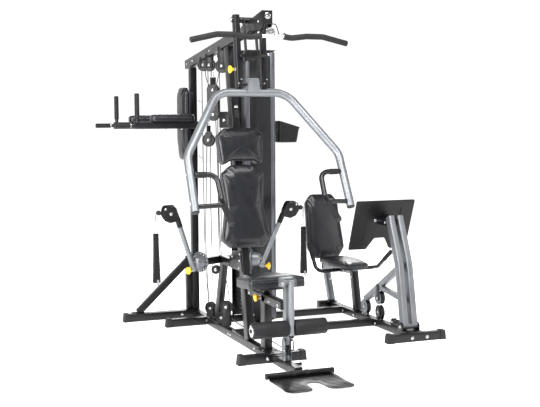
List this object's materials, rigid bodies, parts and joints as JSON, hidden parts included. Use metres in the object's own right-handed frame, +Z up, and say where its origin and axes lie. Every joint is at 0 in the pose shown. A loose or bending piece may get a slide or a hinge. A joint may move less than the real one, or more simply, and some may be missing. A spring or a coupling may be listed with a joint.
{
  "type": "multi station home gym",
  "caption": "Multi station home gym: seated press and lat tower with cable arms and leg lever, a knee-raise station behind it and a leg press beside it.",
  "frame": {"origin": "middle of the machine's rectangular footprint, on the floor", "axes": "+Z up; -Y is the way the press station's user faces; +X points from the tower to the leg press"},
  "size_m": [1.9685, 2.685, 2.0883],
  "materials": {
    "frame_paint": "textured charcoal powder coat",
    "silver_paint": "silver grey powder coat with a metallic sheen",
    "chrome": "polished",
    "leather": "black synthetic leather over foam, soft sheen",
    "foam": "matte black foam rubber",
    "yellow_plastic": "yellow moulded plastic",
    "black_plastic": "black moulded plastic",
    "shroud_panel": "dark sheet metal with silver edge trims",
    "iron_plates": "black painted weight plates",
    "webbing": "black nylon webbing",
    "cable_sleeve": "black nylon sleeved steel cable"
  },
  "bodies": {
    "frame": {"main_beam": "frame_paint", "front_stabilizer": "frame_paint", "front_extension": "frame_paint", "rear_stabilizer": "frame_paint", "mid_stabilizer": "frame_paint", "rear_cross_beam": "frame_paint", "front_cross_beam": "frame_paint", "leg_press_beam": "frame_paint", "right_stabilizer": "frame_paint", "rear_upright": "frame_paint", "knee_station_post": "frame_paint", "main_upright": "frame_paint", "top_beam": "frame_paint", "arm_carrier": "frame_paint", "locking_disc_left": "silver_paint", "locking_disc_right": "silver_paint", "weight_shroud": "shroud_panel", "guide_frame": "chrome", "resting_weights": "iron_plates", "head_pad": "leather", "back_pad": "leather", "seat_post": "frame_paint", "lever_post": "silver_paint", "knee_station_frame": "frame_paint", "knee_station_back_pad": "leather", "elbow_pad_near": "leather", "elbow_pad_far": "leather", "leg_press_frame": "frame_paint", "leg_press_back_pad": "leather", "leg_press_seat": "leather", "bottle_holder": "black_plastic", "upper_cable": "cable_sleeve", "lower_cable": "cable_sleeve"},
    "press_arm": {"press_hangers": "frame_paint", "press_arch": "silver_paint", "press_grip_left": "foam", "press_grip_right": "foam"},
    "press_pin": {"press_knob": "yellow_plastic"},
    "weights": {"lifted_weights": "iron_plates", "stack_cable": "cable_sleeve"},
    "lat_handle": {"lat_bar": "chrome", "lat_drop_cable": "cable_sleeve"},
    "lat_wheel": {"lat_pulley": "black_plastic"},
    "cable_arm_left": {"arm_tube_left": "silver_paint"},
    "cable_arm_right": {"arm_tube_right": "silver_paint"},
    "arm_pin_left": {"arm_knob_left": "yellow_plastic"},
    "arm_pin_right": {"arm_knob_right": "yellow_plastic"},
    "cable_head_left": {"arm_head_left": "frame_paint"},
    "cable_head_right": {"arm_head_right": "frame_paint"},
    "strap_left": {"strap_handle_left": "webbing"},
    "strap_right": {"strap_handle_right": "webbing"},
    "seat": {"seat_carriage": "frame_paint", "seat_pad": "leather"},
    "seat_pin": {"seat_knob": "yellow_plastic"},
    "lever": {"leg_lever": "silver_paint"},
    "roller_left": {"foam_roller_left": "foam"},
    "roller_right": {"foam_roller_right": "foam"},
    "rowing_foot_plate": {"row_foot_plate": "frame_paint"},
    "leg_press": {"leg_press_arm": "silver_paint", "leg_press_foot_plate": "black_plastic"}
  },
  "joints": [
    {"name": "press_arm_swing", "type": "hinge", "parent": "frame", "child": "press_arm", "pos_m": [-0.3292, -0.2435, 2.056], "axis": [-1, 0, 0], "range_deg": [0, 33]},
    {"name": "press_pin_pull", "type": "slide", "parent": "press_arm", "child": "press_pin", "axis": [-1, 0, 0], "range_m": [0, 0.012], "stiffness_N_per_m": 400, "springref_m": -0.004},
    {"name": "weight_lift", "type": "slide", "parent": "frame", "child": "weights", "axis": [0, 0, 1], "range_m": [0, 0.325], "deforming": ["stack_cable"]},
    {"name": "lat_pull", "type": "slide", "parent": "frame", "child": "lat_handle", "axis": [0, 0, -1], "range_m": [0, 0.65], "deforming": ["lat_drop_cable"]},
    {"name": "lat_wheel_spin", "type": "hinge", "parent": "frame", "child": "lat_wheel", "pos_m": [-0.3292, -0.5085, 2.003], "axis": [1, 0, 0], "continuous": true},
    {"name": "seat_height", "type": "slide", "parent": "frame", "child": "seat", "axis": [0, 0, 1], "range_m": [-0.03, 0.12]},
    {"name": "seat_pin_pull", "type": "slide", "parent": "frame", "child": "seat_pin", "axis": [-1, 0, 0], "range_m": [0, 0.012], "stiffness_N_per_m": 400, "springref_m": -0.004},
    {"name": "leg_lever_swing", "type": "hinge", "parent": "frame", "child": "lever", "pos_m": [-0.3292, -0.8688, 0.513], "axis": [-1, 0, 0], "range_deg": [0, 85]},
    {"name": "row_plate_fold", "type": "hinge", "parent": "frame", "child": "rowing_foot_plate", "pos_m": [-0.3292, -1.0235, 0.024], "axis": [-1, 0, 0], "range_deg": [0, 90]},
    {"name": "leg_press_swing", "type": "hinge", "parent": "frame", "child": "leg_press", "pos_m": [0.7338, -0.3535, 0.085], "axis": [1, 0, 0], "range_deg": [0, 26]},
    {"name": "roller_left_spin", "type": "hinge", "parent": "lever", "child": "roller_left", "pos_m": [-0.4552, -0.8825, 0.254], "axis": [1, 0, 0], "continuous": true},
    {"name": "cable_arm_left_swing", "type": "hinge", "parent": "frame", "child": "cable_arm_left", "pos_m": [-0.5152, 0.2415, 0.505], "axis": [0.866, 0.5, 0], "range_deg": [0, 70]},
    {"name": "arm_pin_left_pull", "type": "slide", "parent": "cable_arm_left", "child": "arm_pin_left", "axis": [-0.866, -0.5, 0], "range_m": [0, 0.01], "stiffness_N_per_m": 400, "springref_m": -0.004},
    {"name": "cable_head_left_swivel", "type": "hinge", "parent": "cable_arm_left", "child": "cable_head_left", "pos_m": [-0.69917, 0.13528, 0.81739], "axis": [-0.3384, -0.1954, 0.9205], "range_deg": [-35, 35]},
    {"name": "strap_left_swing", "type": "hinge", "parent": "cable_head_left", "child": "strap_left", "pos_m": [-0.84432, 0.12755, 0.85381], "axis": [1, 0, 0], "range_deg": [-25, 25]},
    {"name": "roller_right_spin", "type": "hinge", "parent": "lever", "child": "roller_right", "pos_m": [-0.2032, -0.8825, 0.254], "axis": [1, 0, 0], "continuous": true},
    {"name": "cable_arm_right_swing", "type": "hinge", "parent": "frame", "child": "cable_arm_right", "pos_m": [-0.1432, 0.2415, 0.505], "axis": [0.866, -0.5, 0], "range_deg": [0, 70]},
    {"name": "arm_pin_right_pull", "type": "slide", "parent": "cable_arm_right", "child": "arm_pin_right", "axis": [0.866, -0.5, 0], "range_m": [0, 0.01], "stiffness_N_per_m": 400, "springref_m": -0.004},
    {"name": "cable_head_right_swivel", "type": "hinge", "parent": "cable_arm_right", "child": "cable_head_right", "pos_m": [0.04077, 0.13528, 0.81739], "axis": [0.3384, -0.1954, 0.9205], "range_deg": [-35, 35]},
    {"name": "strap_right_swing", "type": "hinge", "parent": "cable_head_right", "child": "strap_right", "pos_m": [0.18592, 0.12755, 0.85381], "axis": [1, 0, 0], "range_deg": [-25, 25]}
  ],
  "couplings": [
    {"joint": "lat_pull", "follows": "weight_lift", "ratio": 2},
    {"joint": "lat_wheel_spin", "follows": "weight_lift", "rad_per_m": 52.632}
  ]
}
